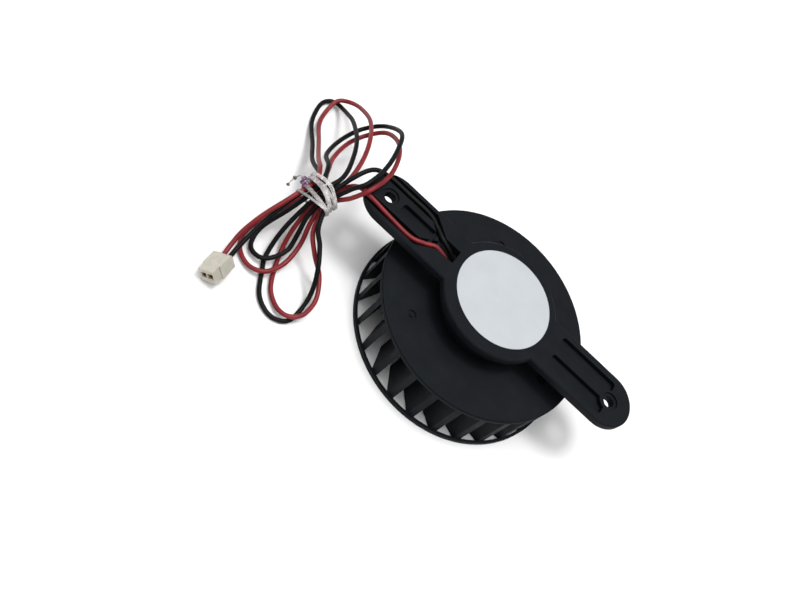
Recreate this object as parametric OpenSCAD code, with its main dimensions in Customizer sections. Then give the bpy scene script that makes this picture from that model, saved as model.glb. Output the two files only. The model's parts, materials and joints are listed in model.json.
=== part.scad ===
// Small centrifugal cooling fan: a strip bracket carries an external rotor motor,
// the motor carries a blower wheel, and two leads end in a two-way plug.
// The origin is on the fan's axis in the plane of the inlet ring's lower face.
// +Z points out of the bracket's label side and +X along the arm without leads.

/* [Wheel] */
// Outer diameter of the inlet ring, the widest part of the wheel
ring_d = 80; // [72:0.5:90]
// Radial wall of the inlet ring
ring_wall = 1; // [0.6:0.1:1.4]
// Height of the inlet ring
ring_h = 1.6; // [1:0.1:3]
// Height of the back disc's upper face above the inlet ring's lower face
wheel_h = 19.1; // [17:0.1:24]
// Gap between the inlet ring and the back disc, on the radius
disc_gap = 0.2; // [0.1:0.1:1.5]
// Thickness of the back disc
disc_t = 0.9; // [0.8:0.1:2]
// Width of the lowered band along the back disc's rim
rim_w = 0.6; // [0.4:0.1:3]
// Depth of the lowered band along the back disc's rim
rim_step = 0.3; // [0.1:0.05:0.4]
// Number of blades
blade_count = 27; // [19:1:33]
// Diameter of the circle through the blades' inner edges
blade_inner_d = 62; // [50:0.5:66]
// Angle between a blade and the radius at its outer edge
blade_lean = 38; // [20:1:48]
// Thickness of a blade at its outer edge
blade_t = 1.9; // [1:0.1:2.4]
// Thickness of a blade at its inner edge
blade_nose_t = 1.1; // [0.8:0.1:1.6]
// Angle of the first blade's outer edge
blade_turn = -85; // [-180:0.1:180]
// Diameter of the circle of the three gate marks on the back disc
gate_circle_d = 57.8; // [46:0.2:66]
// Diameter of a gate mark
gate_d = 3.2; // [2:0.1:5]
// Depth of a gate mark
gate_depth = 0.5; // [0.1:0.05:0.6]
// Angle of the first gate mark
gate_turn = -10.2; // [-180:0.1:180]
// Wall of the hub cup around the rotor yoke
hub_wall = 1.3; // [1:0.1:2]
// Thickness of the hub cup's closed end
hub_floor = 1.8; // [1.2:0.1:3]
// Chamfer round the hub cup's closed end
hub_chamfer = 2; // [0.5:0.1:2.6]

/* [Bracket] */
// Length of the bracket over both arms
bracket_l = 115; // [106:0.5:140]
// Width of an arm
arm_w = 20; // [18.6:0.2:26]
// Diameter of the round middle of the bracket
hub_d = 43; // [41:0.5:50]
// Thickness of the bracket plate
plate_t = 3; // [2.6:0.1:4.5]
// Space between the back disc and the bracket plate
under_gap = 6.5; // [6.4:0.1:12]
// Chamfer along the bracket's upper and lower edges
edge_chamfer = 0.4; // [0.1:0.05:0.7]
// Distance between the two screw holes
hole_spacing = 98; // [92:0.5:104]
// Diameter of a screw hole
hole_d = 4; // [3.2:0.1:5]
// Diameter of the shallow seat round a screw hole
seat_d = 6.2; // [5.4:0.1:8]
// Depth of the seat round a screw hole
seat_depth = 0.6; // [0.3:0.1:1]
// Height of the raised pad under the end of an arm
pad_h = 0.4; // [0.2:0.05:0.8]
// Margin between the raised pad and the arm's edge
pad_margin = 1.2; // [0.8:0.1:3]
// Depth of the pockets and of the lead channels
pocket_depth = 1.6; // [1:0.1:2]
// Outer edge of the pockets, from the arm's middle line
pocket_out = 7.2; // [5:0.1:8]
// Half width of the rib between the two pockets
pocket_rib = 1.3; // [0.8:0.1:3]
// Start of the pockets, from the axis
pocket_x0 = 24.5; // [23:0.1:28]
// End of the pockets, from the axis
pocket_x1 = 48; // [36:0.1:52]
// Corner radius of the pockets
pocket_r = 1.2; // [0.4:0.1:1.6]
// Outer edge of the lead channels, from the arm's middle line
channel_out = 8.2; // [7.4:0.1:9]
// Inner edge of the lead channels, from the arm's middle line
channel_in = 4.6; // [4:0.1:5]
// Where the lead channels start to close in, from the axis
channel_bend = 33.5; // [31:0.1:36]
// Length of the lead slot through the plate
slot_l = 6.5; // [6:0.1:8]
// Width of the lead slot through the plate
slot_w = 6; // [5.4:0.1:8]
// Inner end of the lead slot, from the axis
slot_x = 20; // [19:0.1:21]
// Half width of the pocket in the island between the channels
island_pocket = 2.2; // [1:0.1:3]
// Length of the pocket in the island between the channels
island_pocket_l = 14.5; // [6:0.5:15]
// Diameter of the boss that holds the bearing tube
boss_d = 12.6; // [11:0.1:15]
// Length of the boss below the plate
boss_l = 2; // [1:0.1:2.4]

/* [Label] */
// Diameter of the label
label_d = 35.4; // [28:0.1:38]
// Thickness of the label
label_t = 0.15; // [0.1:0.05:0.4]
// Shift of the label off the axis, along the arms
label_x = 0.5; // [-1:0.1:1]
// Shift of the label off the axis, across the arms
label_y = 1; // [-1:0.1:1]

/* [Motor] */
// Outer diameter of the rotor yoke
yoke_d = 33; // [32:0.1:34]
// Wall of the rotor yoke
yoke_wall = 1; // [0.6:0.1:1.2]
// Height of the rotor yoke
yoke_h = 12; // [11:0.1:12.4]
// Wall of the rotor magnet
magnet_wall = 1.9; // [1.5:0.1:2.2]
// Height of the rotor magnet
magnet_h = 10.4; // [8:0.1:10.6]
// Air gap between the magnet and the stator
air_gap = 0.4; // [0.3:0.05:0.8]
// Height of the stator's stack of laminations
core_h = 6.4; // [5:0.1:6.8]
// Width of a stator tooth
tooth_w = 3.2; // [2.4:0.1:3.6]
// Radial depth of a pole shoe at its middle
shoe_t = 1.9; // [1.5:0.1:2.2]
// Angle that a pole shoe covers
shoe_angle = 74; // [60:1:80]
// Thickness of the insulators' plates
insulator_t = 0.6; // [0.4:0.1:0.8]
// Height of a coil above the insulator's plate
coil_rise = 1.1; // [0.6:0.1:1.3]
// Thickness of a coil beside its tooth
coil_side = 1.4; // [0.8:0.1:1.6]
// Diameter of the circuit board
board_d = 30.4; // [29:0.1:30.6]
// Thickness of the circuit board
board_t = 1; // [0.8:0.1:1.2]
// Outer diameter of the bearing tube
tube_d = 8.6; // [8:0.1:9.6]
// Outer diameter of the sleeve bearing
bearing_d = 6.4; // [5.6:0.1:6.8]
// Length of the sleeve bearing
bearing_l = 11.2; // [8:0.1:11.4]
// Diameter of the shaft
shaft_d = 3; // [2:0.1:3.2]
// Outer diameter of the bush that holds the shaft in the wheel
bush_d = 7.2; // [6:0.1:8]
// Running clearance of the shaft, on the radius
shaft_gap = 0.02; // [0.01:0.01:0.05]
// Clearance of pieces that are pushed together, on the radius
fit_gap = 0.03; // [0.02:0.01:0.05]

/* [Leads] */
// Diameter of a lead over its insulation
lead_d = 1.6; // [1.3:0.05:1.6]

/* [Plug] */
// Width of the plug housing across its two ways
plug_w = 6.6; // [6.4:0.1:9]
// Height of the plug housing
plug_h = 5; // [4.8:0.1:7]
// Length of the plug housing
plug_l = 9.2; // [8.4:0.1:10]
// Distance between the two ways of the plug
plug_pitch = 2.5; // [2.4:0.05:2.8]
// Side of a square way through the plug housing
way_side = 2; // [1.8:0.05:2.2]

/* [Tie] */
// Width of the tie's ribbon
tie_w = 3.4; // [2:0.1:5]
// Thickness of the tie's ribbon
tie_t = 0.5; // [0.3:0.05:0.8]

/* [Hidden] */
$fn = 96;
eps = 0.01;
// How far a cut runs past the face it starts from
over = 1;

// Heights, from the inlet ring upwards
disc_bottom = wheel_h - disc_t;
plate_bottom = wheel_h + under_gap;
plate_top = plate_bottom + plate_t;
cup_rim_gap = 3.1;
cup_rim = plate_bottom - cup_rim_gap;
board_sink = 0.9;
board_top = cup_rim - board_sink;
board_bottom = board_top - board_t;
coil_room = 2.6;
core_top = board_bottom - coil_room;
core_bottom = core_top - core_h;
coil_bottom = core_bottom - insulator_t - coil_rise;
spin_gap = 1.1;
yoke_floor = coil_bottom - spin_gap;
yoke_bottom = yoke_floor - yoke_wall;
nose = yoke_bottom - hub_floor;
boss_gap = 0.6;
bush_top = coil_bottom - boss_gap;

// Rotor sizes across
ring_in = ring_d / 2 - ring_wall;
disc_r = ring_in - disc_gap;
cup_in = yoke_d / 2 + fit_gap;
cup_out = cup_in + hub_wall;
hub_boss_wall = 2;
hub_boss_r = bush_d / 2 + hub_boss_wall;
magnet_out = yoke_d / 2 - yoke_wall - fit_gap;
magnet_in = magnet_out - magnet_wall;
core_r = magnet_in - air_gap;

// Blades
blade_foot = 0.3;
blade_bite = 0.4;
blade_turn_step = 360 / blade_count;
// Distance along a leaning blade from its outer edge to the inner circle
blade_chord = ring_in * cos(blade_lean)
    - sqrt(pow(blade_inner_d / 2, 2) - pow(ring_in * sin(blade_lean), 2));

// Bearing stack along the shaft
cap_flange_t = 0.7;
cap_plug_l = 1;
label_gap = 0.1;
tube_top = plate_top - label_gap - cap_flange_t;
tube_gap = 1;
tube_bottom = bush_top + tube_gap;
seal_t = 1;
seal_gap = 0.2;
bearing_bottom = tube_bottom + seal_gap + seal_t;
bearing_top = bearing_bottom + bearing_l;
end_play = 0.05;
washer_t = 0.35;
clip_t = 0.5;
clip_z = bearing_top + end_play + washer_t + end_play;
groove_depth = 0.3;
groove_gap = 0.05;
shaft_over = 0.8;
shaft_top = clip_z + clip_t + shaft_over;

// Bracket
end_x = (bracket_l - arm_w) / 2;
hole_x = hole_spacing / 2;
slot_end = slot_x + slot_l;
island_gap = 1.3;
island_tip = slot_end + island_gap;
island_end_gap = 1.6;
pocket_boss_wall = 0.9;
pad_reach = 8;

// Plug, where the leads end, rolled up on one of its long edges
plug_at = [-71.27, -48.65, 0];
plug_turn = -87;
plug_roll = 36.7;
way_z = 2.7;
lead_end_x = -2;

// Tie round the ten runs of lead
tie_at = [-66, -10.5, 19];
tie_turn = -14;
tie_tilt = 28;
tie_in_w = 12.8;
tie_in_h = 6.4;
tie_corner = 1.4;
tail_l = 8;
tail_turn = [72, 0, -6];

// Routes of the leads' middle lines, from the circuit board to the plug
RED_ROUTE = [
    [-12, -2, 22.45], [-13.6, -2, 22.45], [-16.5, -2, 23.75], [-20, -1.8, 24.6], [-23.5, -1.8, 26.9],
    [-27.5, -2.3, 28.1], [-31, -4.4, 27.9], [-36, -6.5, 27.9], [-45, -6.2, 27.9],
    [-54, -5.6, 28.1], [-58.5, -5.2, 27.1], [-61.7, -5, 22], [-63.9, -10.5, 18],
    [-62.3, -17.5, 12.3], [-60, -22.5, 6.2], [-59.5, -30, 3.4], [-62, -37, 3],
    [-67.5, -38.8, 1.7], [-73.5, -35.5, 1.1], [-75.8, -29, 1.8], [-72.8, -19.5, 8],
    [-67.9, -9.5, 18],
    [-70, -1.5, 18.2], [-72.3, 7, 15.3], [-72.6, 17.5, 14], [-70, 26, 14.7],
    [-65.5, 28, 19.8], [-60, 22.5, 26], [-56, 14, 29.8], [-53.8, 5, 29.9],
    [-54.8, -5.5, 30.8], [-57.8, -9.2, 25.2], [-61.9, -11, 18],
    [-60, -19.5, 13.5], [-54.5, -23.5, 9.5], [-48.6, -26.2, 6], [-44.3, -32.1, 4],
    [-43.6, -38.2, 3.4], [-45.2, -42.1, 3.1], [-48.6, -43.9, 2.5], [-53, -42.6, 1.5],
    [-58, -38, 1.2],
    [-62.8, -27.5, 1.6], [-65.2, -20.5, 8.2], [-65.9, -10, 18],
    [-63, -2, 20.3], [-64, 8.5, 21.3], [-67.5, 19.5, 20.3], [-72.7, 30.5, 16],
    [-79, 38, 9.9], [-84.3, 41, 5.2], [-88, 38.5, 3.5], [-88, 32, 1.7], [-86, 25, 2.6],
    [-81, 15, 7.3], [-75.8, 3.5, 14], [-72.3, -3.5, 19], [-70.1, -10, 20],
    [-72, -19.5, 17], [-74.5, -28, 12], [-75.7, -34.5, 7.2], [-75.4, -39.4, 4.2],
    [-74.82, -43.32, 3.39], [-74.64, -46.82, 3.39]
];
BLACK_ROUTE = [
    [-12, 2, 22.45], [-13.6, 2, 22.45], [-16.5, 2, 23.75], [-20, 1.8, 24.6], [-23.5, 1.8, 26.9],
    [-27.5, 2.3, 28.1], [-31, 4.4, 27.9], [-36, 6.5, 27.9], [-45, 6.6, 27.9],
    [-53, 6.4, 28], [-58.8, 4.5, 27.6], [-61.8, -2.5, 26], [-64.1, -11.5, 20],
    [-64.2, -18, 14], [-62.8, -21.5, 7.7], [-61.8, -26, 4.4], [-63.5, -31.5, 3.6],
    [-66.2, -34.1, 2.7], [-69.9, -33.7, 1.8], [-72.2, -31, 1.7], [-73, -25.5, 4], [-70, -18, 12],
    [-68.1, -10.5, 20],
    [-70.6, -2, 20.6], [-74.7, 6, 15.3], [-75.4, 17.5, 12.5], [-73.3, 28.5, 12],
    [-68, 32.5, 17], [-61.3, 25, 27.7], [-58, 15.5, 30.7], [-56.3, 5.5, 30.5],
    [-57, -4.5, 30.4], [-59.8, -8, 26.5], [-62.1, -12, 20],
    [-59.2, -19.5, 16], [-54.8, -22.5, 13], [-50.2, -27.4, 9.8], [-46.9, -31.8, 5],
    [-45.5, -37.5, 1.3], [-46.3, -44, 0.9], [-51.5, -46.7, 0.9], [-58, -44, 1],
    [-63, -36.5, 1.1], [-65.8, -31, 1.6], [-67.3, -22.5, 8.5], [-66.1, -11, 20],
    [-64.6, -2.5, 22.4], [-67, 7.5, 21.2], [-71, 17, 19], [-77, 27.5, 13],
    [-81.2, 33.6, 7.6], [-84.3, 37.4, 3.9], [-87.3, 39.3, 1.9], [-90.2, 38.6, 1.1], [-91.5, 35.2, 1],
    [-90.7, 30.2, 1], [-88.1, 23.6, 1.5],
    [-82, 13.5, 5.8], [-77, 3.5, 11], [-71.3, -4.1, 17.4], [-69.9, -9, 18],
    [-71.8, -18.5, 15], [-73, -27.5, 10], [-73.3, -34, 6.9], [-73.2, -39.2, 5.3],
    [-72.82, -43.22, 4.88], [-72.64, -46.72, 4.88]
];
// A step of a route that is longer than this gets a ring at its middle too
long_step = 10;
lead_sides = 8;

// Colours as the photograph shows them
BLACK_PLASTIC = [0.13, 0.14, 0.16];
LABEL_SILVER = [0.82, 0.85, 0.87];
BRASS = [0.78, 0.62, 0.3];
BRONZE = [0.55, 0.4, 0.25];
STEEL = [0.6, 0.61, 0.63];
COPPER = [0.72, 0.38, 0.2];
NYLON = [0.9, 0.88, 0.8];
BOARD_GREEN = [0.12, 0.35, 0.2];
FERRITE = [0.2, 0.2, 0.21];
RED_PVC = [0.68, 0.14, 0.16];
BLACK_PVC = [0.08, 0.08, 0.09];
IVORY = [0.86, 0.84, 0.77];
CLEAR_FILM = [0.85, 0.83, 0.87];

// A round plate whose upper and lower edges are chamfered
module chamfered_disc(d, h, c) {
    rotate_extrude()
        polygon([[0, 0], [d / 2 - c, 0], [d / 2, c], [d / 2, h - c], [d / 2 - c, h], [0, h]]);
}

// A straight bar along X, centred, with chamfered long edges
module chamfered_bar(l, w, h, c) {
    translate([-l / 2, 0, 0])
        rotate([90, 0, 90])
            linear_extrude(l)
                polygon([
                    [-w / 2 + c, 0], [w / 2 - c, 0], [w / 2, c], [w / 2, h - c],
                    [w / 2 - c, h], [-w / 2 + c, h], [-w / 2, h - c], [-w / 2, c]
                ]);
}

// A flat rectangle with round corners between two opposite corners
module round_rect(x0, y0, x1, y1, r) {
    translate([x0 + r, y0]) square([x1 - x0 - 2 * r, y1 - y0]);
    translate([x0, y0 + r]) square([x1 - x0, y1 - y0 - 2 * r]);
    for (x = [x0 + r, x1 - r], y = [y0 + r, y1 - r])
        translate([x, y]) circle(r, $fn = 32);
}

// A straight tube standing on height z
module ring_tube(r_out, r_in, z, h) {
    translate([0, 0, z])
        difference() {
            cylinder(r = r_out, h = h);
            translate([0, 0, -over]) cylinder(r = r_in, h = h + 2 * over);
        }
}

// One half of the channels that take the leads along the arm
module lead_channel() {
    polygon([
        [-bracket_l, channel_in], [-bracket_l, channel_out], [-channel_bend, channel_out],
        [-slot_end, slot_w / 2], [-slot_x, slot_w / 2], [-slot_x, -eps],
        [-island_tip, -eps], [-channel_bend, channel_in]
    ]);
}

// The pocket and the lead channel on one side of the arms' middle line
module side_pockets() {
    difference() {
        round_rect(pocket_x0, pocket_rib, pocket_x1, pocket_out, pocket_r);
        translate([hole_x, 0]) circle(seat_d / 2 + pocket_boss_wall);
    }
    lead_channel();
}

// Everything that is cut from the bracket's upper face, as flat shapes
module bracket_pockets() {
    island_x = -(island_tip + island_end_gap);
    side_pockets();
    mirror([0, 1]) side_pockets();
    round_rect(island_x - island_pocket_l, -island_pocket, island_x, island_pocket, pocket_r);
}

// The raised pad round a screw hole, which the arm rests on
module arm_pad() {
    half_w = arm_w / 2 - pad_margin;
    start = hole_x - pad_reach;
    translate([end_x, 0]) circle(half_w);
    translate([start, -half_w]) square([end_x - start, 2 * half_w]);
}

module bracket() {
    color(BLACK_PLASTIC)
        difference() {
            union() {
                translate([0, 0, plate_bottom]) {
                    chamfered_disc(hub_d, plate_t, edge_chamfer);
                    chamfered_bar(2 * end_x, arm_w, plate_t, edge_chamfer);
                    for (side = [-1, 1])
                        translate([side * end_x, 0, 0])
                            chamfered_disc(arm_w, plate_t, edge_chamfer);
                }
                for (turn = [0, 180])
                    rotate([0, 0, turn])
                        translate([0, 0, plate_bottom - pad_h])
                            linear_extrude(pad_h + plate_t / 4) arm_pad();
                translate([0, 0, plate_bottom - boss_l])
                    cylinder(d = boss_d, h = boss_l + plate_t / 2);
            }
            translate([0, 0, plate_top - pocket_depth])
                linear_extrude(pocket_depth + over) bracket_pockets();
            translate([-slot_end, -slot_w / 2, plate_bottom - over])
                cube([slot_l, slot_w, plate_t + 2 * over]);
            for (side = [-1, 1])
                translate([side * hole_x, 0, 0]) {
                    translate([0, 0, plate_bottom - over])
                        cylinder(d = hole_d, h = plate_t + 2 * over);
                    translate([0, 0, plate_top - seat_depth])
                        cylinder(d = seat_d, h = seat_depth + over);
                }
            translate([0, 0, plate_bottom - boss_l - over])
                cylinder(r = tube_d / 2 + fit_gap, h = boss_l + plate_t + 2 * over);
        }
}

module rating_label() {
    color(LABEL_SILVER)
        translate([label_x, label_y, plate_top]) cylinder(d = label_d, h = label_t);
}

module bearing_tube() {
    color(BRASS)
        ring_tube(tube_d / 2, bearing_d / 2 + fit_gap, tube_bottom, tube_top - tube_bottom);
}

module sleeve_bearing() {
    bevel = 0.3;
    bore = shaft_d / 2 + shaft_gap;
    color(BRONZE)
        translate([0, 0, bearing_bottom])
            rotate_extrude()
                polygon([
                    [bore, 0], [bearing_d / 2 - bevel, 0], [bearing_d / 2, bevel],
                    [bearing_d / 2, bearing_l - bevel], [bearing_d / 2 - bevel, bearing_l],
                    [bore, bearing_l]
                ]);
}

module oil_seal() {
    seal_clear = 0.15;
    color(BLACK_PVC)
        ring_tube(bearing_d / 2, shaft_d / 2 + seal_clear, bearing_bottom - seal_t, seal_t);
}

// The cap's flange lies on the tube, inside the bracket's bore and under the label
module bearing_cap() {
    color(NYLON) {
        translate([0, 0, tube_top]) cylinder(r = tube_d / 2, h = cap_flange_t);
        translate([0, 0, tube_top - cap_plug_l])
            cylinder(r = bearing_d / 2, h = cap_plug_l + eps);
    }
}

// Four teeth with pole shoes round a ring, turned clear of the leads
poles = 4;
pole_turn = 45;
core_ring = 1.8;
module pole_sector(r) {
    reach = 2 * r;
    polygon([
        [0, 0], [reach * cos(shoe_angle / 2), -reach * sin(shoe_angle / 2)],
        [reach * cos(shoe_angle / 2), reach * sin(shoe_angle / 2)]
    ]);
}

module core_outline(trim = 0) {
    difference() {
        union() {
            circle(tube_d / 2 + core_ring - trim);
            for (i = [0:poles - 1])
                rotate(pole_turn + 360 / poles * i) {
                    translate([0, -tooth_w / 2 + trim])
                        square([core_r - shoe_t / 2, tooth_w - 2 * trim]);
                    intersection() {
                        difference() {
                            circle(core_r - trim);
                            circle(core_r - shoe_t + trim);
                        }
                        pole_sector(core_r);
                    }
                }
        }
        circle(tube_d / 2 + fit_gap);
    }
}

module stator_core() {
    color(STEEL)
        translate([0, 0, core_bottom]) linear_extrude(core_h) core_outline();
}

// A plate of the core's outline with a guide wall inside and outside each coil
insulator_trim = 0.15;
guide_t = 0.6;
module insulator() {
    linear_extrude(insulator_t) core_outline(insulator_trim);
    linear_extrude(insulator_t + coil_rise)
        difference() {
            union() {
                circle(tube_d / 2 + guide_t + fit_gap);
                intersection() {
                    difference() {
                        circle(core_r - shoe_t / 2 + guide_t / 2);
                        circle(core_r - shoe_t / 2 - guide_t / 2);
                    }
                    for (i = [0:poles - 1])
                        rotate(pole_turn + 360 / poles * i) pole_sector(core_r);
                }
            }
            circle(tube_d / 2 + fit_gap);
        }
}

module lower_insulator() {
    color(NYLON)
        translate([0, 0, core_bottom]) mirror([0, 0, 1]) insulator();
}

// The upper insulator's posts carry the circuit board and the winding pins
post_d = 1.5;
post_turn = 24;
post_r = core_r - shoe_t / 2;
pin_d = 0.7;
pin_foot = core_top + insulator_t / 2;
module at_posts() {
    for (i = [0:poles - 1])
        rotate(pole_turn + post_turn + 360 / poles * i) translate([post_r, 0, 0]) children();
}

module upper_insulator() {
    color(NYLON)
        difference() {
            union() {
                translate([0, 0, core_top]) insulator();
                at_posts()
                    translate([0, 0, core_top])
                        cylinder(d = post_d, h = board_bottom - core_top, $fn = 32);
            }
            at_posts()
                translate([0, 0, pin_foot])
                    cylinder(d = pin_d + 2 * fit_gap, h = board_bottom - core_top, $fn = 24);
        }
}

module winding_pins() {
    pin_over = 0.8;
    color(BRASS)
        at_posts()
            translate([0, 0, pin_foot])
                cylinder(d = pin_d, h = board_top + pin_over - pin_foot, $fn = 24);
}

// A coil is a round-cornered frame round its tooth, between the guide walls
coil_gap = 0.25;
coil_lift = 0.05;
module stator_coils() {
    half_w = tooth_w / 2 + coil_gap;
    half_h = core_h / 2 + insulator_t + coil_lift;
    x0 = tube_d / 2 + core_ring + coil_gap;
    x1 = sqrt(pow(core_r - shoe_t - coil_gap, 2) - pow(half_w + coil_side, 2));
    rise = coil_rise - coil_lift;
    color(COPPER)
        for (i = [0:poles - 1])
            rotate([0, 0, pole_turn + 360 / poles * i])
                translate([x0, 0, (core_top + core_bottom) / 2])
                    rotate([90, 0, 90])
                        linear_extrude(x1 - x0)
                            difference() {
                                round_rect(-half_w - coil_side, -half_h - rise,
                                    half_w + coil_side, half_h + rise, rise);
                                translate([-half_w, -half_h])
                                    square([2 * half_w, 2 * half_h]);
                            }
}

module circuit_board() {
    hole_gap = 0.1;
    color(BOARD_GREEN)
        translate([0, 0, board_bottom])
            difference() {
                cylinder(d = board_d, h = board_t);
                translate([0, 0, -over])
                    cylinder(r = tube_d / 2 + hole_gap, h = board_t + 2 * over);
                at_posts()
                    translate([0, 0, -over])
                        cylinder(d = pin_d + 2 * hole_gap, h = board_t + 2 * over, $fn = 24);
            }
}

// The sensor hangs under the board above the magnet's edge
module hall_sensor() {
    size = [2.8, 1.6, 0.9];
    hall_r = 12.4;
    color(FERRITE)
        rotate([0, 0, 90])
            translate([hall_r - size[1] / 2, -size[0] / 2, board_bottom - size[2]])
                cube([size[1], size[0], size[2]]);
}

module driver_chip() {
    body = [4.9, 3.9, 1.4];
    leg = [0.4, 1, 0.2];
    legs = 4;
    leg_pitch = 1.27;
    leg_bite = 0.1;
    leg_y = (body[1] + leg[1]) / 2 - leg_bite;
    stand = 0.15;
    chip_x = 9.6;
    color(FERRITE)
        translate([chip_x, 0, board_top])
            rotate([0, 0, 90]) {
                translate([-body[0] / 2, -body[1] / 2, stand]) cube(body);
                for (i = [0:legs - 1], side = [-1, 1])
                    translate([(i - (legs - 1) / 2) * leg_pitch - leg[0] / 2,
                            side * leg_y - leg[1] / 2, 0])
                        cube(leg);
            }
}

module filter_capacitor() {
    cap_d = 4;
    cap_h = 2.6;
    base = [4.2, 4.2, 0.5];
    cap_at = [-3, 10, board_top];
    color(STEEL)
        translate(cap_at) {
            translate([-base[0] / 2, -base[1] / 2, 0]) cube(base);
            cylinder(d = cap_d, h = cap_h);
        }
}

module chip_resistors() {
    chip = [1.6, 0.8, 0.45];
    chip_pitch = 2.4;
    row_at = [-2, -10.5, board_top];
    color(FERRITE)
        for (i = [-1:1])
            translate(row_at + [chip_pitch * i - chip[0] / 2, -chip[1] / 2, 0]) cube(chip);
}

// A block of solder on the board where each lead's bared end is fixed
module solder_joints() {
    block = [1.8, 2, 1.7];
    color(STEEL)
        for (route = [RED_ROUTE, BLACK_ROUTE])
            translate([route[0][0], route[0][1] - block[1] / 2, board_top]) cube(block);
}

// The wheel is one moulding: ring, blades, back disc and hub cup
module blade_plan() {
    dir = [-cos(blade_lean), -sin(blade_lean)];
    across = [sin(blade_lean), -cos(blade_lean)];
    outer = [ring_in, 0] - dir * over;
    inner = [ring_in, 0] + dir * (blade_chord - blade_nose_t / 2);
    polygon([
        outer + across * blade_t / 2, inner + across * blade_nose_t / 2,
        inner - across * blade_nose_t / 2, outer - across * blade_t / 2
    ]);
    translate(inner) circle(d = blade_nose_t, $fn = 24);
}

module blades() {
    blade_top = disc_bottom + disc_t / 3;
    inside = blade_inner_d / 2 - over;
    intersection() {
        for (i = [0:blade_count - 1])
            rotate([0, 0, blade_turn + i * blade_turn_step])
                translate([0, 0, blade_foot])
                    linear_extrude(blade_top - blade_foot) blade_plan();
        rotate_extrude()
            polygon([
                [inside, 0], [ring_in + blade_bite, 0],
                [ring_in + blade_bite, ring_h / 2 + blade_foot],
                [ring_in - eps, ring_h + blade_foot], [disc_r - eps, disc_bottom],
                [disc_r - eps, wheel_h], [inside, wheel_h]
            ]);
    }
}

module impeller() {
    nub_d = 1.3;
    gates = 3;
    color(BLACK_PLASTIC) {
        ring_tube(ring_d / 2, ring_in, 0, ring_h);
        blades();
        difference() {
            rotate_extrude()
                polygon([
                    [bush_d / 2 + fit_gap, nose], [cup_out - hub_chamfer, nose],
                    [cup_out, nose + hub_chamfer], [cup_out, disc_bottom],
                    [disc_r, disc_bottom], [disc_r, wheel_h - rim_step],
                    [disc_r - rim_w, wheel_h - rim_step], [disc_r - rim_w, wheel_h],
                    [cup_out, wheel_h], [cup_out, cup_rim], [cup_in, cup_rim],
                    [cup_in, yoke_bottom], [hub_boss_r, yoke_bottom], [hub_boss_r, bush_top],
                    [bush_d / 2 + fit_gap, bush_top]
                ]);
            for (i = [0:gates - 1])
                rotate([0, 0, gate_turn + 360 / gates * i])
                    translate([gate_circle_d / 2, 0, wheel_h - gate_depth])
                        ring_tube(gate_d / 2, nub_d / 2, 0, gate_depth + over);
        }
    }
}

module rotor_yoke() {
    color(STEEL)
        difference() {
            translate([0, 0, yoke_bottom]) cylinder(d = yoke_d, h = yoke_h);
            translate([0, 0, yoke_floor]) cylinder(r = yoke_d / 2 - yoke_wall, h = yoke_h);
            translate([0, 0, yoke_bottom - over])
                cylinder(r = hub_boss_r + fit_gap, h = yoke_h);
        }
}

module rotor_magnet() {
    color(FERRITE) ring_tube(magnet_out, magnet_in, yoke_floor, magnet_h);
}

module shaft_bush() {
    bush_groove = 0.4;
    bush_l = bush_top - nose;
    color(BRASS)
        translate([0, 0, nose])
            rotate_extrude()
                polygon([
                    [shaft_d / 2 + fit_gap, 0], [bush_d / 2, 0], [bush_d / 2, bush_l / 3],
                    [bush_d / 2 - bush_groove, bush_l / 3 + bush_groove],
                    [bush_d / 2 - bush_groove, 2 * bush_l / 3 - bush_groove],
                    [bush_d / 2, 2 * bush_l / 3], [bush_d / 2, bush_l],
                    [shaft_d / 2 + fit_gap, bush_l]
                ]);
}

module rotor_shaft() {
    tip = 0.3;
    r = shaft_d / 2;
    g0 = clip_z - groove_gap;
    g1 = clip_z + clip_t + groove_gap;
    color(STEEL)
        rotate_extrude()
            polygon([
                [0, nose], [r, nose], [r, g0], [r - groove_depth, g0], [r - groove_depth, g1],
                [r, g1], [r, shaft_top - tip], [r - tip, shaft_top], [0, shaft_top]
            ]);
}

module thrust_washer() {
    washer_wall = 1.2;
    washer_gap = 0.1;
    color(NYLON)
        ring_tube(shaft_d / 2 + washer_gap + washer_wall, shaft_d / 2 + washer_gap,
            bearing_top + end_play, washer_t);
}

// An open ring that snaps into the shaft's groove
module retaining_clip() {
    clip_wall = 1.2;
    clip_grip = 0.3;
    mouth = shaft_d - 2 * groove_depth - 2 * clip_grip;
    color(STEEL)
        difference() {
            ring_tube(shaft_d / 2 - groove_depth + clip_wall,
                shaft_d / 2 - groove_depth + fit_gap, clip_z, clip_t);
            translate([0, -mouth / 2, clip_z - over])
                cube([shaft_d + clip_wall, mouth, clip_t + 2 * over]);
        }
}

// A point on the smooth curve between b and c, with a and d as the points beyond
function on_curve(a, b, c, d, t) =
    b + (c - a) * t / 2 + (2 * a - 5 * b + 4 * c - d) * t * t / 2
    + (3 * b - a - 3 * c + d) * t * t * t / 2;

// A ring at each point of the route, and one at the middle of each long step
function smooth_route(p) = let (n = len(p) - 1) [
    for (i = [0:n - 1], t = norm(p[i + 1] - p[i]) > long_step ? [0, 0.5] : [0])
        on_curve(p[max(i - 1, 0)], p[i], p[i + 1], p[min(i + 2, n)], t),
    p[n]
];

function unit(v) = v / norm(v);

// The route's direction at each ring
function directions(p) = let (n = len(p) - 1) [
    for (i = [0:n]) unit(p[min(i + 1, n)] - p[max(i - 1, 0)])
];

// A side direction for each ring, carried along without twist
function sides_along(d) = [
    for (i = 0, s = unit(cross(d[0], [0, 0, 1])); i < len(d);
            i = i + 1, s = i < len(d) ? unit(s - d[i] * (s * d[i])) : s) s
];

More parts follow.
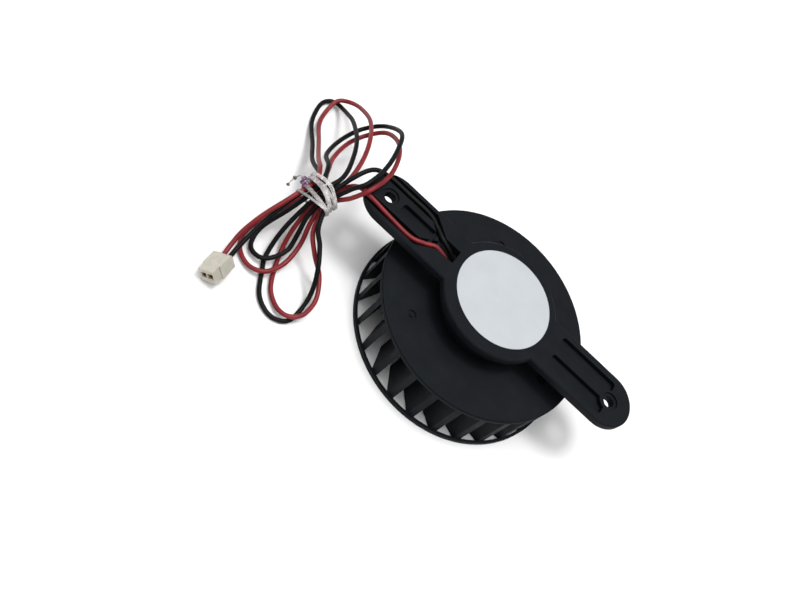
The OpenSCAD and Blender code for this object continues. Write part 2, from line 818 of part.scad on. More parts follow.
module lead(route) {
    p = smooth_route(route);
    d = directions(p);
    s = sides_along(d);
    rings = len(p);
    points = [
        for (i = [0:rings - 1], k = [0:lead_sides - 1])
            let (a = 360 * (k + 0.5) / lead_sides)
            p[i] + lead_d / 2 * (cos(a) * s[i] + sin(a) * cross(d[i], s[i]))
    ];
    walls = [
        for (i = [0:rings - 2], k = [0:lead_sides - 1])
            let (a = i * lead_sides + k, b = i * lead_sides + (k + 1) % lead_sides)
            [a, a + lead_sides, b + lead_sides, b]
    ];
    start = [for (k = [0:lead_sides - 1]) k];
    end = [for (k = [lead_sides - 1:-1:0]) (rings - 1) * lead_sides + k];
    polyhedron(points, concat([start, end], walls));
}

module red_lead() {
    color(RED_PVC) lead(RED_ROUTE);
}

module black_lead() {
    color(BLACK_PVC) lead(BLACK_ROUTE);
}

// The plug lies with its ways along its own X, mating end forward
module at_plug() {
    translate(plug_at)
        rotate([0, 0, plug_turn])
            translate([0, -plug_w / 2, 0])
                rotate([plug_roll, 0, 0])
                    translate([0, plug_w / 2, 0]) children();
}

module plug_housing() {
    rear_bevel = 0.6;
    step_l = 3;
    step_in = 0.5;
    window = [2.4, 1.3];
    color(IVORY)
        at_plug()
            difference() {
                translate([0, plug_w / 2, 0])
                    rotate([90, 0, 0])
                        linear_extrude(plug_w)
                            polygon([
                                [-plug_l / 2, 0], [plug_l / 2, 0], [plug_l / 2, plug_h],
                                [-plug_l / 2 + rear_bevel, plug_h], [-plug_l / 2, plug_h - rear_bevel]
                            ]);
                for (side = [-1, 1]) {
                    translate([plug_l / 2 - step_l, side * plug_w / 2 - step_in, -over])
                        cube([plug_l, 2 * step_in, plug_h + 2 * over]);
                    translate([-plug_l, side * plug_pitch / 2 - way_side / 2, way_z - way_side / 2])
                        cube([2 * plug_l, way_side, way_side]);
                    translate([-window[0] / 2, side * plug_pitch / 2 - window[1] / 2, -over])
                        cube([window[0], window[1], way_z + over]);
                }
            }
}

// Two folded contacts, each on the floor of its way in front of the lead's end
module plug_contacts() {
    contact_side = 1.7;
    contact_wall = 0.25;
    contact_back = 0.5;
    contact_l = plug_l / 2 - lead_end_x - contact_back;
    way_floor = way_z - way_side / 2;
    color(BRASS)
        at_plug()
            for (side = [-1, 1])
                translate([lead_end_x, side * plug_pitch / 2, way_floor + contact_side / 2])
                    rotate([90, 0, 90])
                        linear_extrude(contact_l)
                            difference() {
                                square(contact_side, center = true);
                                square(contact_side - 2 * contact_wall, center = true);
                            }
}

// The flat shape of the ribbon round the bundle, grown outwards by a margin
module tie_outline(grow) {
    round_rect(-tie_in_w / 2 - grow, -tie_in_h / 2 - grow,
        tie_in_w / 2 + grow, tie_in_h / 2 + grow, tie_corner + grow);
}

// A ribbon round the bundle, its two ends twisted into a short tail
module wire_tie() {
    tail_d = [1.1, 1.5];
    tail_at = [-tie_in_w / 2 + tie_t / 2, -tie_t, tie_in_h / 2];
    color(CLEAR_FILM)
        translate(tie_at)
            rotate([tie_tilt, 0, tie_turn]) {
                rotate([90, 0, 0])
                    translate([0, 0, -tie_w / 2])
                        linear_extrude(tie_w)
                            difference() {
                                tie_outline(tie_t);
                                tie_outline(0);
                            }
                translate(tail_at)
                    rotate(tail_turn)
                        cylinder(d1 = tail_d[0], d2 = tail_d[1], h = tail_l, $fn = 32);
            }
}

bracket();
rating_label();
bearing_tube();
sleeve_bearing();
oil_seal();
bearing_cap();
stator_core();
lower_insulator();
upper_insulator();
stator_coils();
winding_pins();
circuit_board();
hall_sensor();
driver_chip();
filter_capacitor();
chip_resistors();
solder_joints();
impeller();
rotor_yoke();
rotor_magnet();
shaft_bush();
rotor_shaft();
thrust_washer();
retaining_clip();
red_lead();
black_lead();
plug_housing();
plug_contacts();
wire_tie();
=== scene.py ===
"""Looks of the cooling fan: camera, leads, tie, materials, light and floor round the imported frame."""

import json
import math

import bpy
from mathutils import Euler, Matrix, Vector, noise


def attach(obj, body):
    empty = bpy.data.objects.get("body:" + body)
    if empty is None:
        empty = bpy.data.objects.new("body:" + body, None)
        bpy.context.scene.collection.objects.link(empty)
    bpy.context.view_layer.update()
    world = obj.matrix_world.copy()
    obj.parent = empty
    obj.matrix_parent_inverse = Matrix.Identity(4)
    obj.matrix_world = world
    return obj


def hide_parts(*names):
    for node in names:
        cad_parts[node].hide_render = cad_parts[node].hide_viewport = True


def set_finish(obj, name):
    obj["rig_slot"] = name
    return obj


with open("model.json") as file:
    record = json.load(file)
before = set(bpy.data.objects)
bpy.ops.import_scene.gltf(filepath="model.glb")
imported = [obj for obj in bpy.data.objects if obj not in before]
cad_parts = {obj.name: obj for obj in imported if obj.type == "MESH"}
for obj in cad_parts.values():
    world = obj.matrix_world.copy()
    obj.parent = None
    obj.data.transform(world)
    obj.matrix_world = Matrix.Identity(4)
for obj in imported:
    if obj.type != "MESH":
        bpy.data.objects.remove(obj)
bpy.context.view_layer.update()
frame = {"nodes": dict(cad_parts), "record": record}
nodes = frame["nodes"]
MM = 0.001

# Camera, fitted to the photograph
CAMERA_AT = Vector((-42.6, -199.8, 250.3)) * MM
CAMERA_TURN = (27.73, -26.86, 34.9)
CAMERA_LENS = 41.5
SENSOR_W = 36
CLIP_START = 0.01

# Leads: size, smoothness, and the points of their middle lines from the circuit board to the plug, in mm
LEAD_D = 1.6 * MM
LEAD_ROUNDNESS = 5
LEAD_STEPS = 8
CHORD_TO_HANDLE = 6
RED_ROUTE = [
    (-12, -2, 22.45), (-13.6, -2, 22.45), (-16.5, -2, 23.75), (-20, -1.8, 24.6), (-23.5, -1.8, 26.9),
    (-27.5, -2.3, 28.1), (-31, -4.4, 27.9), (-36, -6.5, 27.9), (-45, -6.2, 27.9),
    (-54, -5.6, 28.1), (-58.5, -5.2, 27.1), (-61.7, -5, 22), (-63.9, -10.5, 18),
    (-62.3, -17.5, 12.3), (-60, -22.5, 6.2), (-59.5, -30, 3.4), (-62, -37, 3),
    (-67.5, -38.8, 1.7), (-73.5, -35.5, 1.1), (-75.8, -29, 1.8), (-72.8, -19.5, 8),
    (-67.9, -9.5, 18),
    (-70, -1.5, 18.2), (-72.3, 7, 15.3), (-72.6, 17.5, 14), (-70, 26, 14.7),
    (-65.5, 28, 19.8), (-60, 22.5, 26), (-56, 14, 29.8), (-53.8, 5, 29.9),
    (-54.8, -5.5, 30.8), (-57.8, -9.2, 25.2), (-61.9, -11, 18),
    (-60, -19.5, 13.5), (-54.5, -23.5, 9.5), (-48.6, -26.2, 6), (-44.3, -32.1, 4),
    (-43.6, -38.2, 3.4), (-45.2, -42.1, 3.1), (-48.6, -43.9, 2.5), (-53, -42.6, 1.5),
    (-58, -38, 1.2),
    (-62.8, -27.5, 1.6), (-65.2, -20.5, 8.2), (-65.9, -10, 18),
    (-63, -2, 20.3), (-64, 8.5, 21.3), (-67.5, 19.5, 20.3), (-72.7, 30.5, 16),
    (-79, 38, 9.9), (-84.3, 41, 5.2), (-88, 38.5, 3.5), (-88, 32, 1.7), (-86, 25, 2.6),
    (-81, 15, 7.3), (-75.8, 3.5, 14), (-72.3, -3.5, 19), (-70.1, -10, 20),
    (-72, -19.5, 17), (-74.5, -28, 12), (-75.7, -34.5, 7.2), (-75.4, -39.4, 4.2),
    (-74.82, -43.32, 3.39), (-74.64, -46.82, 3.39),
]
BLACK_ROUTE = [
    (-12, 2, 22.45), (-13.6, 2, 22.45), (-16.5, 2, 23.75), (-20, 1.8, 24.6), (-23.5, 1.8, 26.9),
    (-27.5, 2.3, 28.1), (-31, 4.4, 27.9), (-36, 6.5, 27.9), (-45, 6.6, 27.9),
    (-53, 6.4, 28), (-58.8, 4.5, 27.6), (-61.8, -2.5, 26), (-64.1, -11.5, 20),
    (-64.2, -18, 14), (-62.8, -21.5, 7.7), (-61.8, -26, 4.4), (-63.5, -31.5, 3.6),
    (-66.2, -34.1, 2.7), (-69.9, -33.7, 1.8), (-72.2, -31, 1.7), (-73, -25.5, 4), (-70, -18, 12),
    (-68.1, -10.5, 20),
    (-70.6, -2, 20.6), (-74.7, 6, 15.3), (-75.4, 17.5, 12.5), (-73.3, 28.5, 12),
    (-68, 32.5, 17), (-61.3, 25, 27.7), (-58, 15.5, 30.7), (-56.3, 5.5, 30.5),
    (-57, -4.5, 30.4), (-59.8, -8, 26.5), (-62.1, -12, 20),
    (-59.2, -19.5, 16), (-54.8, -22.5, 13), (-50.2, -27.4, 9.8), (-46.9, -31.8, 5),
    (-45.5, -37.5, 1.3), (-46.3, -44, 0.9), (-51.5, -46.7, 0.9), (-58, -44, 1),
    (-63, -36.5, 1.1), (-65.8, -31, 1.6), (-67.3, -22.5, 8.5), (-66.1, -11, 20),
    (-64.6, -2.5, 22.4), (-67, 7.5, 21.2), (-71, 17, 19), (-77, 27.5, 13),
    (-81.2, 33.6, 7.6), (-84.3, 37.4, 3.9), (-87.3, 39.3, 1.9), (-90.2, 38.6, 1.1), (-91.5, 35.2, 1),
    (-90.7, 30.2, 1), (-88.1, 23.6, 1.5),
    (-82, 13.5, 5.8), (-77, 3.5, 11), (-71.3, -4.1, 17.4), (-69.9, -9, 18),
    (-71.8, -18.5, 15), (-73, -27.5, 10), (-73.3, -34, 6.9), (-73.2, -39.2, 5.3),
    (-72.82, -43.22, 4.88), (-72.64, -46.72, 4.88),
]

# Tie: place and turn of the bundle's frame, in which X runs across the leads and Y along them
TIE_AT = Vector((-66, -10.5, 19)) * MM
TIE_TURN = Euler((math.radians(28), 0, math.radians(-14)))
TIE_CORNER = 1.8 * MM
TIE_CROWN = 0.9 * MM
CORNER_STEPS = 10
FLAT_STEPS = 8
STRAND_ROWS = 6
FILM_T = 0.1 * MM

# Creases of the film: even waves, and crushing with a grain per metre, finer along the leads
WAVE_H = 0.08 * MM
WAVE_PER_ROW = 2.2
WAVE_PER_STEP = 0.5
CRUSH_H = 0.25 * MM
CRUSH_GRAIN = 600
CRUSH_ALONG = 2

# Knot of the film: a strip along a three-lobed loop
KNOT_AT = Vector((-5.6, -2.9, 3.1)) * MM
KNOT_SIZE = 0.48 * MM
KNOT_DEPTH = 1.4
KNOT_W = 0.9 * MM
KNOT_STEPS = 120
KNOT_ROWS = 2
KNOT_CRUSH_H = 0.2 * MM
KNOT_GRAIN = 900

# Tail of the film: its route and half width in mm, and the place, from 0 to 1, and size of its lumps
TAIL_ROUTE = [(-5.6, -2.9, 3.1), (-7.1, -3.2, 5.4), (-7.4, -5.9, 6.2), (-7.05, -8.45, 5)]
TAIL_W = 0.16
TAIL_BEADS = [(0.6, 0.5), (0.96, 0.42)]
BEAD_REACH = 0.07
TAIL_TURNS = 3
TAIL_STEPS = 90
TAIL_ROWS = 3
TAIL_AHEAD = 0.02

# Middle of the film's thin side, painted greyer over the leads: painted shade, and the dark leads seen
# through the thin film
THIN_SHADED_AT = Vector((-2.5, -5, 2.5)) * MM

# Turns of the film: left, right, lower and upper edge of the loop, then width, place along the leads,
# arch over the top, skew and phase of the creases; all but the phase in mm
TIE_TURNS = [
    (-6.5, 6.5, -3.4, 3.5, 1.3, 0.6, 2.1, 0, 0.0),
    (-6.3, 6.4, -3.3, 3.3, 1.7, -1.1, 1.5, -0.4, 2.1),
    (-6.1, 6.4, -3.2, 3.2, 0.7, -0.1, 1.4, 0.3, 5.2),
    (-5.3, 6.6, -3.1, 3.3, 1.4, -3.2, 0.2, 0.4, 4.0),
    (-4.7, 6.7, -3.5, 3.6, 0.9, -4.6, 0, 1.9, 1.2),
]

# Light: the key light, and the sky's strength as two fades, each between two heights of the direction
KEY_FROM = Vector((0.05, 0.1, 1))
KEY_STRENGTH = 1.2
KEY_SPREAD = math.radians(14)
HORIZON_HEIGHTS = (0.2, 0.4)
HORIZON_STRENGTHS = (1, 0.05)
OVERHEAD_HEIGHTS = (0.7, 0.86)
OVERHEAD_STRENGTHS = (0, 2.6)

# Floor: half its side, and how far it lies below the part so that the two faces don't meet
FLOOR_HALF = 12
FLOOR_DROP = 0.05 * MM


def make_camera():
    data = bpy.data.cameras.new("camera")
    data.lens = CAMERA_LENS
    data.sensor_width = SENSOR_W
    data.clip_start = CLIP_START
    camera = bpy.data.objects.new("camera", data)
    camera.location = CAMERA_AT
    camera.rotation_euler = [math.radians(a) for a in CAMERA_TURN]
    bpy.context.scene.collection.objects.link(camera)
    bpy.context.scene.camera = camera


def add_mesh(name, points, faces):
    mesh = bpy.data.meshes.new(name)
    mesh.from_pydata([tuple(p) for p in points], [], faces)
    mesh.update()
    for face in mesh.polygons:
        face.use_smooth = True
    piece = bpy.data.objects.new(name, mesh)
    bpy.context.scene.collection.objects.link(piece)
    return piece


def add_lead(name, route):
    """A round lead, its bevel scaled by each point's radius, on the smooth curve through the points."""
    curve = bpy.data.curves.new(name, "CURVE")
    curve.dimensions = "3D"
    curve.bevel_depth = 1
    curve.bevel_resolution = LEAD_ROUNDNESS
    curve.resolution_u = LEAD_STEPS
    curve.use_fill_caps = True
    spline = curve.splines.new("BEZIER")
    spline.bezier_points.add(len(route) - 1)
    points = [Vector(p) * MM for p in route]
    last = len(points) - 1
    for i, bend in enumerate(spline.bezier_points):
        reach = (points[min(i + 1, last)] - points[max(i - 1, 0)]) / CHORD_TO_HANDLE
        bend.co = points[i]
        bend.radius = LEAD_D / 2
        bend.handle_left = points[i] - reach
        bend.handle_right = points[i] + reach
    lead = bpy.data.objects.new(name, curve)
    bpy.context.scene.collection.objects.link(lead)
    return lead


def loop_outline(left, right, low, high):
    """Points round a rectangle with round corners, in its own X and Z, with the outward normals."""
    before_flats = (0, 2)
    outline = []
    for quarter, (x, z, sx, sz) in enumerate([
        (right, high, 1, 1), (left, high, -1, 1), (left, low, -1, -1), (right, low, 1, -1),
    ]):
        middle = Vector((x - sx * TIE_CORNER, 0, z - sz * TIE_CORNER))
        for k in range(CORNER_STEPS + 1):
            a = math.radians(90 * (quarter + k / CORNER_STEPS))
            outward = Vector((math.cos(a), 0, math.sin(a)))
            outline.append((middle + outward * TIE_CORNER, outward))
        if quarter in before_flats:
            flat = sx * (right - left - 2 * TIE_CORNER)
            start = outline[-1][0]
            for k in range(1, FLAT_STEPS):
                outline.append((start - Vector((flat * k / FLAT_STEPS, 0, 0)), outward))
    return outline


def tie_strand(left, right, low, high, width, shift, arch, skew, phase):
    """One turn of crumpled film round the bundle, arched over its top and running askew."""
    outline = loop_outline(left * MM, right * MM, low * MM, high * MM)
    points = []
    for i, (p, outward) in enumerate(outline):
        across = (2 * p.x / MM - left - right) / (right - left)
        crown = max(0, math.cos(across * math.pi / 2)) if p.z > 0 else 0
        for r in range(STRAND_ROWS + 1):
            y = (width * (r / STRAND_ROWS - 0.5) + shift + arch * crown + skew * across) * MM
            wave = WAVE_H * math.sin(phase + WAVE_PER_ROW * r + WAVE_PER_STEP * i)
            grain_at = Vector((p.x, y * CRUSH_ALONG, p.z)) * CRUSH_GRAIN + Vector((phase, 0, 0))
            crush = CRUSH_H * noise.noise(grain_at)
            rise = Vector((0, 0, TIE_CROWN * crown))
            points.append(p + Vector((0, y, 0)) + rise + outward * (wave + abs(crush)))
    return points, band_faces(len(outline), STRAND_ROWS)


def band_faces(count, rows, closed=True):
    """Quads of a band with count cross sections and rows across it; a closed one returns to its start."""
    faces = []
    for i in range(count if closed else count - 1):
        for r in range(rows):
            a = i * (rows + 1) + r
            b = ((i + 1) % count) * (rows + 1) + r
            faces.append((a, b, b + 1, a + 1))
    return faces


def on_route(route, t):
    """Place on the smooth curve through a route's points, t from 0 to 1, in metres."""
    last = len(route) - 1
    i = min(int(t * last), last - 1)
    u = t * last - i
    a, b, c, d = (Vector(route[max(0, min(k, last))]) for k in (i - 1, i, i + 1, i + 2))
    bend = 2 * a - 5 * b + 4 * c - d
    twist = 3 * b - a - 3 * c + d
    return (b + (c - a) * u / 2 + bend * u ** 2 / 2 + twist * u ** 3 / 2) * MM


def tie_tail(strand):
    """One of the two film ends, twisted round each other along the tail, with its lumps."""
    points = []
    for i in range(TAIL_STEPS + 1):
        t = i / TAIL_STEPS
        here = on_route(TAIL_ROUTE, t)
        ahead = on_route(TAIL_ROUTE, min(1, t + TAIL_AHEAD))
        behind = on_route(TAIL_ROUTE, max(0, t - TAIL_AHEAD))
        way = (ahead - behind).normalized()
        flat = way.cross(Vector((0, 0, 1))).normalized()
        up = flat.cross(way)
        a = math.pi * strand + 2 * math.pi * TAIL_TURNS * t
        lump = sum(size * math.exp(-((t - at) / BEAD_REACH) ** 2) for at, size in TAIL_BEADS)
        wide = (TAIL_W + lump) * MM
        out = flat * math.cos(a) + up * math.sin(a)
        across = up * math.cos(a) - flat * math.sin(a)
        for r in range(TAIL_ROWS + 1):
            points.append(here + out * 0.5 * wide + across * (r / TAIL_ROWS - 0.5) * 2 * wide)
    return points, band_faces(TAIL_STEPS + 1, TAIL_ROWS, closed=False)


def tie_knot():
    """The film's overhand knot: a flat crushed strip along a three-lobed loop."""

    def on_loop(k):
        t = 2 * math.pi * k / KNOT_STEPS
        x = math.sin(t) + 2 * math.sin(2 * t)
        y = math.cos(t) - 2 * math.cos(2 * t)
        return Vector((x, y, -KNOT_DEPTH * math.sin(3 * t))) * KNOT_SIZE

    points = []
    for i in range(KNOT_STEPS):
        here = on_loop(i)
        outward = here.normalized()
        way = (on_loop(i + 1) - on_loop(i - 1)).normalized()
        side = way.cross(outward).normalized()
        for r in range(KNOT_ROWS + 1):
            crush = KNOT_CRUSH_H * noise.noise((here + side * r * MM) * KNOT_GRAIN)
            points.append(KNOT_AT + here + side * KNOT_W * (r / KNOT_ROWS - 0.5) + outward * crush)
    return points, band_faces(KNOT_STEPS, KNOT_ROWS)


def add_tie():
    """The strands, the knot and the twisted tail as one piece, given the film's thickness."""
    points, faces = [], []
    parts = [tie_strand(*turn) for turn in TIE_TURNS] + [tie_knot(), tie_tail(0), tie_tail(1)]
    for part_points, part_faces in parts:
        start = len(points)
        points += part_points
        faces += [tuple(start + k for k in face) for face in part_faces]
    tie = add_mesh("tie_ribbon", points, faces)
    tie.matrix_world = Matrix.Translation(TIE_AT) @ TIE_TURN.to_matrix().to_4x4()
    solid = tie.modifiers.new("film", "SOLIDIFY")
    solid.thickness = FILM_T
    return tie


# Materials


def map_range(tree, value, ends, results):
    """A value carried from the range between two ends to the range between two results."""
    fade = tree.nodes.new("ShaderNodeMapRange")
    fade.inputs["From Min"].default_value, fade.inputs["From Max"].default_value = ends
    fade.inputs["To Min"].default_value, fade.inputs["To Max"].default_value = results
    tree.links.new(value, fade.inputs["Value"])
    return fade.outputs["Result"]


class Look:
    """A node material with a Principled shader, and the textures that vary it over the surface."""

    COLOUR_ENDS = (0.35, 0.65)
    ROUGH_ENDS = (0.3, 0.7)
    PLAIN_DETAIL = 3.0
    BUMP_DETAIL = 4.0
    TINT_AMOUNT = 0.9

    def __init__(self, name, rough=0.5, metal=0.0, level=0.5):
        self.material = bpy.data.materials.new(name)
        self.material.use_nodes = True
        self.tree = self.material.node_tree
        self.shader = self.tree.nodes["Principled BSDF"]
        self.shader.inputs["Roughness"].default_value = rough
        self.shader.inputs["Metallic"].default_value = metal
        self.shader.inputs["Specular IOR Level"].default_value = level
        self.place = self.tree.nodes.new("ShaderNodeTexCoord").outputs["Object"]

    def stretched(self, x, y, z):
        """Textures drawn out along an axis, as turning leaves them."""
        mapping = self.tree.nodes.new("ShaderNodeMapping")
        mapping.inputs["Scale"].default_value = (x, y, z)
        self.tree.links.new(self.place, mapping.inputs["Vector"])
        self.place = mapping.outputs["Vector"]
        return self

    def noise(self, grain_mm, detail=PLAIN_DETAIL):
        texture = self.tree.nodes.new("ShaderNodeTexNoise")
        texture.inputs["Scale"].default_value = 1 / (grain_mm * MM)
        texture.inputs["Detail"].default_value = detail
        self.tree.links.new(self.place, texture.inputs["Vector"])
        return texture.outputs["Fac"]

    def colours(self, low, high, grain_mm):
        ramp = self.tree.nodes.new("ShaderNodeValToRGB")
        for element, colour, end in zip(ramp.color_ramp.elements, (low, high), self.COLOUR_ENDS):
            element.color = (*colour, 1)
            element.position = end
        self.tree.links.new(self.noise(grain_mm), ramp.inputs["Fac"])
        self.tree.links.new(ramp.outputs["Color"], self.shader.inputs["Base Color"])
        return self

    def roughness(self, low, high, grain_mm):
        spread = map_range(self.tree, self.noise(grain_mm), self.ROUGH_ENDS, (low, high))
        self.tree.links.new(spread, self.shader.inputs["Roughness"])
        return self

    def bump(self, grain_mm, height_mm, strength=0.4):
        bump = self.tree.nodes.new("ShaderNodeBump")
        bump.inputs["Strength"].default_value = strength
        bump.inputs["Distance"].default_value = height_mm * MM
        self.tree.links.new(self.noise(grain_mm, self.BUMP_DETAIL), bump.inputs["Height"])
        self.tree.links.new(bump.outputs["Normal"], self.shader.inputs["Normal"])
        return self

    def tinted(self, centre, near_mm, far_mm, colour):
        """A colour laid over the base colour close to one place of the object."""
        reach = self.tree.nodes.new("ShaderNodeVectorMath")
        reach.operation = "DISTANCE"
        reach.inputs[1].default_value = centre
        self.tree.links.new(self.place, reach.inputs[0])
        ends = (near_mm * MM, far_mm * MM)
        amount = map_range(self.tree, reach.outputs["Value"], ends, (self.TINT_AMOUNT, 0))
        mix = self.tree.nodes.new("ShaderNodeMix")
        mix.data_type = "RGBA"
        mix.inputs["B"].default_value = (*colour, 1)
        self.tree.links.new(amount, mix.inputs["Factor"])
        base = self.shader.inputs["Base Color"]
        self.tree.links.new(base.links[0].from_socket, mix.inputs["A"])
        self.tree.links.new(mix.outputs["Result"], base)
        return self

    def set(self, socket, value):
        self.shader.inputs[socket].default_value = value
        return self


def moulded_black():
    look = Look("moulded_black", level=0.1)
    look.colours((0.0034, 0.0047, 0.0067), (0.0046, 0.0061, 0.0085), 9)
    return look.roughness(0.55, 0.68, 4).bump(0.35, 0.02)


def label_film():
    look = Look("label_film", level=0.4)
    look.colours((0.41, 0.435, 0.455), (0.43, 0.455, 0.475), 7)
    return look.roughness(0.34, 0.46, 2).bump(1.4, 0.01, 0.2)


def red_pvc():
    look = Look("red_pvc", level=0.3)
    look.colours((0.145, 0.008, 0.0105), (0.205, 0.0115, 0.015), 5)
    return look.roughness(0.36, 0.5, 1.2).bump(0.5, 0.02, 0.25)


def black_pvc():
    look = Look("black_pvc", level=0.12)
    look.colours((0.0024, 0.0024, 0.0026), (0.004, 0.004, 0.0043), 5)
    return look.roughness(0.42, 0.56, 1.2).bump(0.5, 0.02, 0.25)


def ivory_nylon():
    look = Look("ivory_nylon", level=0.4)
    look.colours((0.41, 0.395, 0.335), (0.47, 0.45, 0.385), 2)
    look.set("Subsurface Weight", 0.2).set("Subsurface Scale", 1 * MM)
    return look.roughness(0.4, 0.52, 0.8).bump(0.3, 0.01, 0.3)


def clear_film():
    """Pale film, painted greyer on its thin side (painted shade, and the dark leads seen through it),
    purple round the knot and dark at the tail's lumps.
    """
    look = Look("clear_film", level=0.6)
    look.colours((0.46, 0.44, 0.445), (0.86, 0.83, 0.835), 1.6)
    # Painted shade: grey laid over the film's thin side, together with the dark leads seen through the
    # thin film
    look.tinted(THIN_SHADED_AT, 2, 7, (0.34, 0.315, 0.30))
    look.tinted(KNOT_AT, 1, 2.3, (0.33, 0.10, 0.34))
    for at, _ in TAIL_BEADS:
        look.tinted(on_route(TAIL_ROUTE, at), 0.5, 1.4, (0.1, 0.09, 0.08))
    look.set("Transmission Weight", 0.5).set("IOR", 1.3)
    return look.roughness(0.18, 0.34, 0.9).bump(0.9, 0.03, 0.3)


def white_nylon():
    look = Look("white_nylon", level=0.4)
    look.colours((0.72, 0.68, 0.56), (0.8, 0.76, 0.64), 3)
    return look.roughness(0.42, 0.55, 1).bump(0.3, 0.01, 0.3)


def turned_brass():
    look = Look("turned_brass", metal=1.0).stretched(1, 1, 12)
    look.colours((0.50, 0.31, 0.09), (0.62, 0.42, 0.15), 3)
    return look.roughness(0.22, 0.38, 1.2).bump(0.8, 0.008, 0.3)


def sintered_bronze():
    look = Look("sintered_bronze", metal=1.0)
    look.colours((0.20, 0.11, 0.045), (0.32, 0.19, 0.085), 0.4)
    return look.roughness(0.4, 0.6, 0.3).bump(0.2, 0.02, 0.5)


def plain_steel():
    look = Look("plain_steel", metal=1.0).stretched(1, 1, 10)
    look.colours((0.36, 0.37, 0.39), (0.46, 0.47, 0.49), 4)
    return look.roughness(0.24, 0.4, 2).bump(0.8, 0.006, 0.3)


def enamelled_copper():
    """Turns of wire: fine bands round each coil, with a lacquer coat."""
    band = 1 * MM
    band_h = 0.1 * MM
    look = Look("enamelled_copper", metal=1.0)
    look.colours((0.45, 0.15, 0.05), (0.58, 0.22, 0.08), 1.2)
    look.set("Coat Weight", 0.6).set("Coat Roughness", 0.15)
    wave = look.tree.nodes.new("ShaderNodeTexWave")
    wave.wave_type = "RINGS"
    wave.rings_direction = "Z"
    wave.inputs["Scale"].default_value = 1 / band
    bump = look.tree.nodes.new("ShaderNodeBump")
    bump.inputs["Distance"].default_value = band_h
    look.tree.links.new(look.place, wave.inputs["Vector"])
    look.tree.links.new(wave.outputs["Fac"], bump.inputs["Height"])
    look.tree.links.new(bump.outputs["Normal"], look.shader.inputs["Normal"])
    return look.roughness(0.25, 0.4, 0.8)


def board_laminate():
    look = Look("board_laminate", level=0.5)
    look.colours((0.012, 0.09, 0.035), (0.02, 0.13, 0.05), 2.5)
    look.set("Coat Weight", 0.5).set("Coat Roughness", 0.2)
    return look.roughness(0.3, 0.42, 1).bump(0.5, 0.01, 0.3)


def chip_resin():
    look = Look("chip_resin", level=0.4)
    look.colours((0.012, 0.012, 0.013), (0.024, 0.024, 0.026), 0.6)
    return look.roughness(0.5, 0.66, 0.4).bump(0.15, 0.01, 0.4)


def soft_solder():
    look = Look("soft_solder", metal=1.0)
    look.colours((0.45, 0.46, 0.48), (0.6, 0.61, 0.62), 0.8)
    return look.roughness(0.22, 0.42, 0.5).bump(0.6, 0.05, 0.5)


def can_aluminium():
    look = Look("can_aluminium", metal=1.0).stretched(1, 1, 8)
    look.colours((0.62, 0.63, 0.65), (0.72, 0.73, 0.75), 2)
    return look.roughness(0.24, 0.36, 1).bump(0.6, 0.006, 0.3)


def black_rubber():
    look = Look("black_rubber", level=0.3)
    look.colours((0.008, 0.008, 0.009), (0.014, 0.014, 0.015), 1)
    return look.roughness(0.6, 0.75, 0.5).bump(0.3, 0.01, 0.4)


def bonded_ferrite():
    look = Look("bonded_ferrite", level=0.4)
    look.colours((0.022, 0.022, 0.024), (0.04, 0.04, 0.043), 0.5)
    return look.roughness(0.5, 0.65, 0.4).bump(0.2, 0.02, 0.5)


SLOT_LOOKS = {
    "black_plastic": moulded_black,
    "label_film": label_film,
    "brass": turned_brass,
    "bronze": sintered_bronze,
    "black_rubber": black_rubber,
    "white_nylon": white_nylon,
    "steel": plain_steel,
    "copper": enamelled_copper,
    "board_laminate": board_laminate,
    "chip_resin": chip_resin,
    "aluminium_can": can_aluminium,
    "solder": soft_solder,
    "red_pvc": red_pvc,
    "black_pvc": black_pvc,
    "ivory_nylon": ivory_nylon,
    "clear_film": clear_film,
    "ferrite": bonded_ferrite,
}


def paint(piece, slot):
    """The slot's look in place of what the piece had."""
    piece.data.materials.clear()
    piece.data.materials.append(looks[slot])


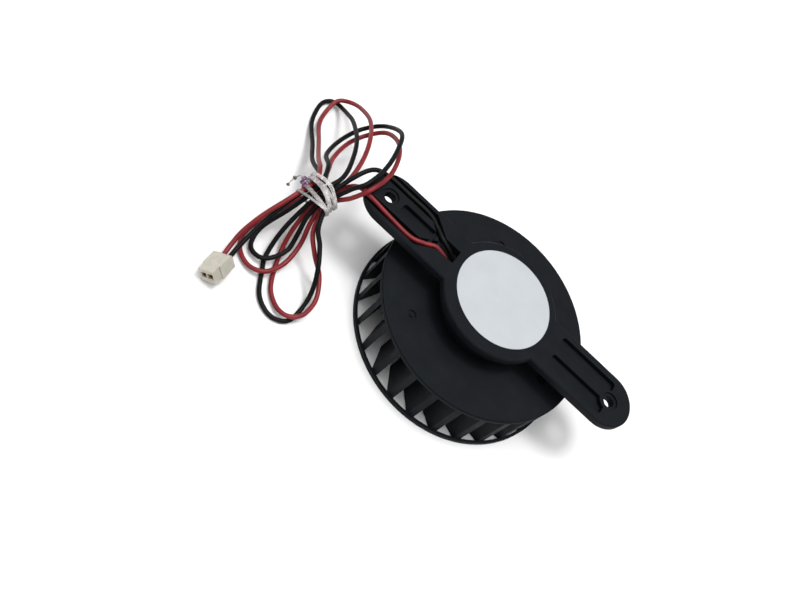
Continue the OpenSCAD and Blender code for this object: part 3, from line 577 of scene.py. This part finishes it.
def add_sky():
    """A wide soft light overhead, darkness at half height and a pale horizon."""
    world = bpy.data.worlds.new("sky")
    world.use_nodes = True
    tree = world.node_tree
    sky = tree.nodes["Background"]
    sky.inputs["Color"].default_value = (1, 1, 1, 1)
    height = tree.nodes.new("ShaderNodeSeparateXYZ")
    tree.links.new(tree.nodes.new("ShaderNodeTexCoord").outputs["Generated"], height.inputs["Vector"])
    total = tree.nodes.new("ShaderNodeMath")
    total.operation = "ADD"
    horizon = map_range(tree, height.outputs["Z"], HORIZON_HEIGHTS, HORIZON_STRENGTHS)
    overhead = map_range(tree, height.outputs["Z"], OVERHEAD_HEIGHTS, OVERHEAD_STRENGTHS)
    tree.links.new(horizon, total.inputs[0])
    tree.links.new(overhead, total.inputs[1])
    tree.links.new(total.outputs["Value"], sky.inputs["Strength"])
    bpy.context.scene.world = world


def add_stage():
    """Pale floor, the sky, and a soft key light from overhead and a little behind."""
    corners = [(x * FLOOR_HALF, y * FLOOR_HALF, 0) for x, y in ((-1, -1), (1, -1), (1, 1), (-1, 1))]
    floor = add_mesh("floor", corners, [(0, 1, 2, 3)])
    floor.location.z = -FLOOR_DROP
    pale = Look("pale_floor", rough=0.9, level=0.1)
    pale.colours((0.84, 0.84, 0.84), (0.86, 0.86, 0.86), 200)
    floor.data.materials.append(pale.material)
    light = bpy.data.lights.new("key_light", "SUN")
    light.energy = KEY_STRENGTH
    light.angle = KEY_SPREAD
    key = bpy.data.objects.new("key_light", light)
    key.rotation_euler = KEY_FROM.to_track_quat("Z", "Y").to_euler()
    bpy.context.scene.collection.objects.link(key)
    add_sky()
    bpy.context.scene.view_settings.view_transform = "Standard"


# Camera, leads and tie

make_camera()
red = add_lead("red_wire", RED_ROUTE)
black = add_lead("black_wire", BLACK_ROUTE)
tie = add_tie()
for piece, node, slot in [
    (red, "red_lead", "red_pvc"),
    (black, "black_lead", "black_pvc"),
    (tie, "wire_tie", "clear_film"),
]:
    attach(piece, "motor_frame")
    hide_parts(node)
    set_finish(piece, slot)

# Looks of every node and piece

looks = {slot: make().material for slot, make in SLOT_LOOKS.items()}
for part in frame["record"]["subparts"]:
    paint(nodes[part["node"]], part["material_slot"])
for piece in (red, black, tie):
    paint(piece, piece["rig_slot"])

add_stage()
bpy.context.view_layer.update()
